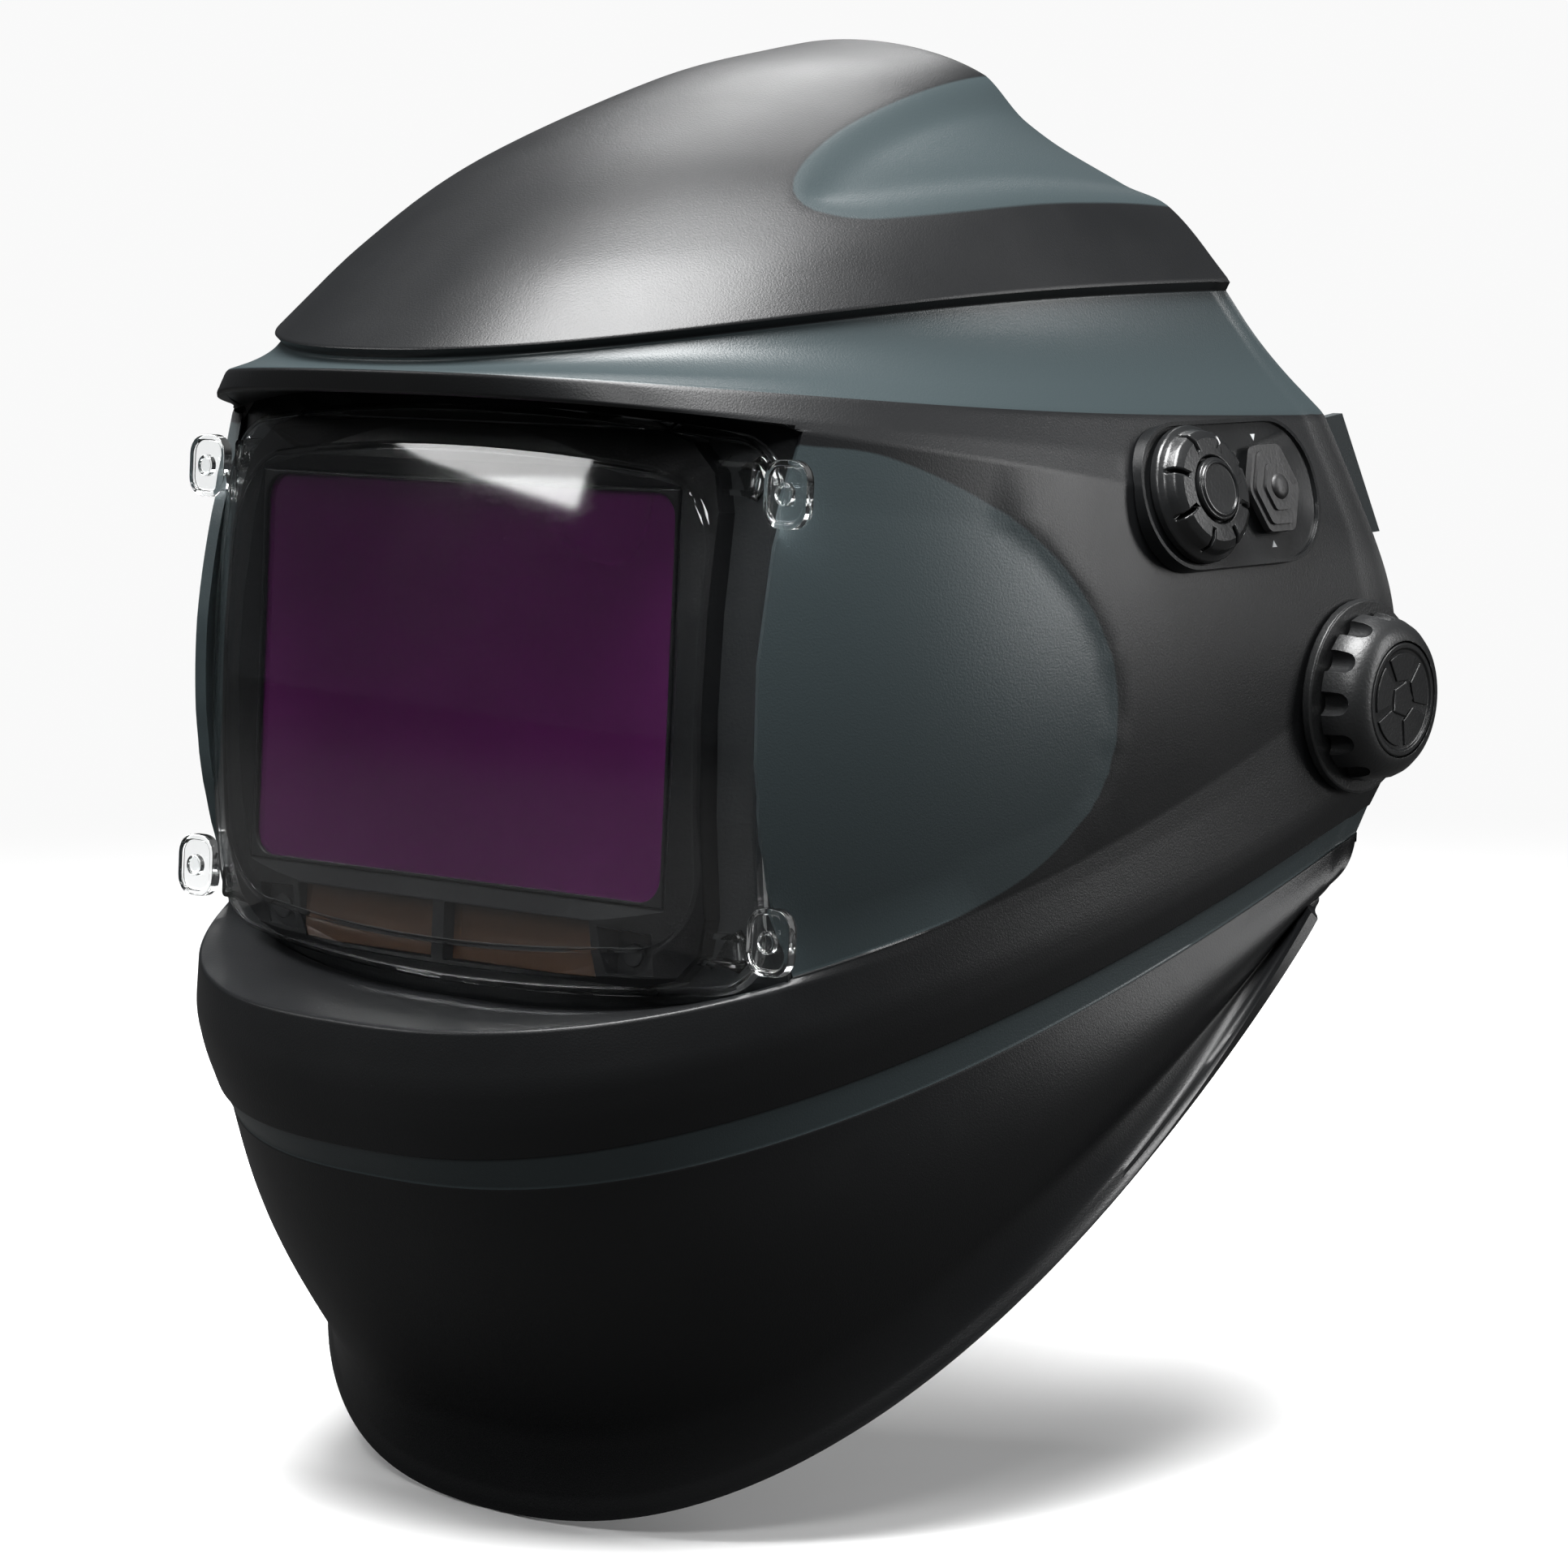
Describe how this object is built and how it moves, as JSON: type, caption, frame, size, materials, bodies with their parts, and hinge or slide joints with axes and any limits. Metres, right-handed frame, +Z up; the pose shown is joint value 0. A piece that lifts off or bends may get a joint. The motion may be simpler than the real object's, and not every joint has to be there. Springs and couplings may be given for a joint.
{
  "type": "welding helmet",
  "caption": "Welding helmet: moulded shell with a darkening filter behind a clear cover lens, side controls, and a head harness it hinges up on.",
  "frame": {"origin": "midway between the two shell pivots, on their common axis, where the wearer's head holds the harness", "axes": "+Z up, the face looks along -Y, +X is the wearer's left, the side that carries the controls"},
  "size_m": [0.2544, 0.3201, 0.3215],
  "materials": {
    "shell": "fine matt moulded texture, satin slate panels",
    "plastic": "satin moulded plastic",
    "clear": "clear polycarbonate",
    "filter": "dark purple interference filter",
    "cell": "dark amorphous solar cell behind glass",
    "board": "green solder mask",
    "rubber": "moulded rubber",
    "strap": "flexible nylon strip",
    "foam": "cotton-faced foam",
    "metal": "zinc-plated steel"
  },
  "bodies": {
    "harness": {"headband": "strap", "sweatband": "foam", "pivot_arm_left": "strap", "pivot_arm_right": "strap", "crown_strap_left": "strap", "crown_strap_right": "strap", "crown_peg": "plastic"},
    "carriers": {"slider_block_left": "plastic", "slider_block_right": "plastic", "pivot_bolt_left": "metal", "pivot_bolt_right": "metal"},
    "shell_unit": {"shell": "shell", "cover_lens": "clear", "filter_holder": "plastic", "filter_housing": "plastic", "filter_glass": "filter", "filter_board": "board", "inner_cover_plate": "clear", "solar_cell_left": "cell", "solar_cell_right": "cell", "arc_sensor_left": "cell", "arc_sensor_right": "cell", "retaining_frame": "plastic", "control_bezel": "plastic", "control_board": "board", "dial_switch": "plastic", "button_switch": "plastic", "control_cover": "plastic", "pivot_washer_left": "plastic", "pivot_washer_right": "plastic"},
    "knob_left": {"tension_knob_left": "plastic", "tension_knob_cap_left": "plastic"},
    "knob_right": {"tension_knob_right": "plastic", "tension_knob_cap_right": "plastic"},
    "dial": {"mode_dial": "plastic", "dial_sleeve": "metal"},
    "dial_button": {"mode_dial_cap": "plastic"},
    "side_button": {"grind_button": "rubber"},
    "tray_left": {"battery_tray_left": "plastic", "coin_cell_left": "metal"},
    "tray_right": {"battery_tray_right": "plastic", "coin_cell_right": "metal"},
    "rear_unit": {"rear_cradle": "strap", "rear_pad": "foam", "ratchet_housing": "plastic", "ratchet_rack_upper": "strap", "ratchet_rack_lower": "strap"},
    "ratchet": {"ratchet_knob": "rubber", "ratchet_pinion": "plastic"}
  },
  "joints": [
    {"name": "distance_slide", "type": "slide", "parent": "harness", "child": "carriers", "axis": [0, 1, 0], "range_m": [-0.01, 0.01]},
    {"name": "shell_flip", "type": "hinge", "parent": "carriers", "child": "shell_unit", "pos_m": [0, 0, 0], "axis": [-1, 0, 0], "range_deg": [0, 75]},
    {"name": "tension_left", "type": "hinge", "parent": "carriers", "child": "knob_left", "pos_m": [0.12, 0, 0], "axis": [1, 0, 0], "range_deg": [-90, 270]},
    {"name": "tension_right", "type": "hinge", "parent": "carriers", "child": "knob_right", "pos_m": [-0.12, 0, 0], "axis": [-1, 0, 0], "range_deg": [-90, 270]},
    {"name": "dial_turn", "type": "hinge", "parent": "shell_unit", "child": "dial", "pos_m": [0.11404, -0.05955, 0.04857], "axis": [0.967, -0.0109, 0.2546], "continuous": true},
    {"name": "dial_push", "type": "slide", "parent": "shell_unit", "child": "dial_button", "axis": [-0.967, 0.0109, -0.2546], "range_m": [0, 0.0008], "stiffness_N_per_m": 800},
    {"name": "grind_push", "type": "slide", "parent": "shell_unit", "child": "side_button", "axis": [-0.967, 0.0109, -0.2546], "range_m": [0, 0.0012], "stiffness_N_per_m": 800},
    {"name": "tray_left_slide", "type": "slide", "parent": "shell_unit", "child": "tray_left", "axis": [0, -0.068, -0.9977], "range_m": [0, 0.022]},
    {"name": "tray_right_slide", "type": "slide", "parent": "shell_unit", "child": "tray_right", "axis": [0, -0.068, -0.9977], "range_m": [0, 0.022]},
    {"name": "cradle_slide", "type": "slide", "parent": "harness", "child": "rear_unit", "axis": [0, 0.9578, -0.2873], "range_m": [-0.01, 0.01]},
    {"name": "ratchet_turn", "type": "hinge", "parent": "rear_unit", "child": "ratchet", "pos_m": [0, 0.1, -0.01389], "axis": [0, 1, 0], "range_deg": [-96, 96]}
  ],
  "couplings": [
    {"joint": "ratchet_turn", "follows": "cradle_slide", "rad_per_m": 166.67}
  ]
}
